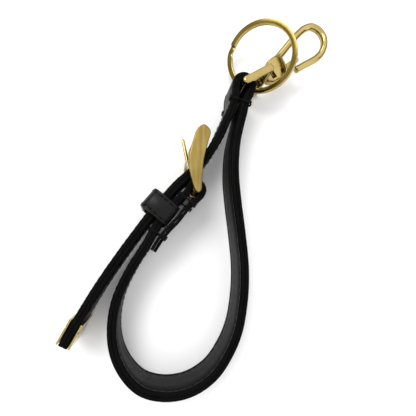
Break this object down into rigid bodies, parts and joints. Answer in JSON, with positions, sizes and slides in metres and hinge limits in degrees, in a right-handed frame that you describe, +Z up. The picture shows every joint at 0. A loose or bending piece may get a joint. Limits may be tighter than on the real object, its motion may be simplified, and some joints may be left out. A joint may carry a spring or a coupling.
{
  "type": "wristlet key chain",
  "caption": "Leather wrist strap closed by a small belt buckle, with a metal strap tip, a swivel snap hook and a split key ring, lying on its edge.",
  "frame": {"origin": "middle of the whole object's plan, on the surface it lies on", "axes": "+Z up from the surface, across the strap's width; +Y from the wrist loop to the hook; +X to the right seen from above with the hook at the top"},
  "size_m": [0.1178, 0.1692, 0.0248],
  "materials": {
    "black_leather": "smooth black leather with a soft sheen",
    "black_thread": "waxed black thread",
    "polished_gold": "polished pale gold plating",
    "brushed_gold": "finely brushed pale gold plating",
    "spring_steel": "bright spring steel"
  },
  "bodies": {
    "strap": {"strap_outer_leather": "black_leather", "strap_lining_leather": "black_leather", "keeper_loop": "black_leather", "hook_tack_top": "black_thread", "hook_tack_bottom": "black_thread", "fold_tack_near_buckle_top": "black_thread", "fold_tack_near_buckle_bottom": "black_thread", "fold_tack_near_end_top": "black_thread", "fold_tack_near_end_bottom": "black_thread", "tip_plate_left": "polished_gold", "tip_plate_right": "polished_gold", "tip_rivet_1": "polished_gold", "tip_rivet_2": "polished_gold"},
    "buckle": {"buckle_frame": "brushed_gold", "buckle_heel_bar": "brushed_gold"},
    "prong": {"buckle_prong": "polished_gold"},
    "swivel_bail": {"bail": "polished_gold", "bail_crossbar": "polished_gold", "swivel_rivet": "polished_gold"},
    "hook": {"snap_hook_body": "polished_gold", "gate_pin": "polished_gold", "gate_spring": "spring_steel"},
    "gate": {"gate_lever": "polished_gold"},
    "ring": {"split_ring": "polished_gold"}
  },
  "joints": [
    {"name": "buckle_hinge", "type": "hinge", "parent": "strap", "child": "buckle", "pos_m": [-0.00779, -0.00244, 0.0124], "axis": [0, 0, 1], "range_deg": [-2, 3]},
    {"name": "prong_hinge", "type": "hinge", "parent": "buckle", "child": "prong", "pos_m": [-0.00779, -0.00244, 0.0124], "axis": [0, 0, 1], "range_deg": [-1, 5]},
    {"name": "bail_hinge", "type": "hinge", "parent": "strap", "child": "swivel_bail", "pos_m": [0.01351, 0.04516, 0.0124], "axis": [0, 0, 1], "range_deg": [-25, 25]},
    {"name": "hook_swivel", "type": "hinge", "parent": "swivel_bail", "child": "hook", "pos_m": [0.01351, 0.04516, 0.0124], "axis": [0.8453, 0.5344, 0], "range_deg": [-15, 15]},
    {"name": "gate_hinge", "type": "hinge", "parent": "hook", "child": "gate", "pos_m": [0.03377, 0.05691, 0.0124], "axis": [0, 0, 1], "range_deg": [0, 20], "stiffness_Nm_per_rad": 0.02, "springref_deg": -17.19},
    {"name": "ring_swing", "type": "hinge", "parent": "swivel_bail", "child": "ring", "pos_m": [0.02018, 0.04938, 0.0077], "axis": [-0.5344, 0.8453, 0], "range_deg": [-40, 0]}
  ]
}
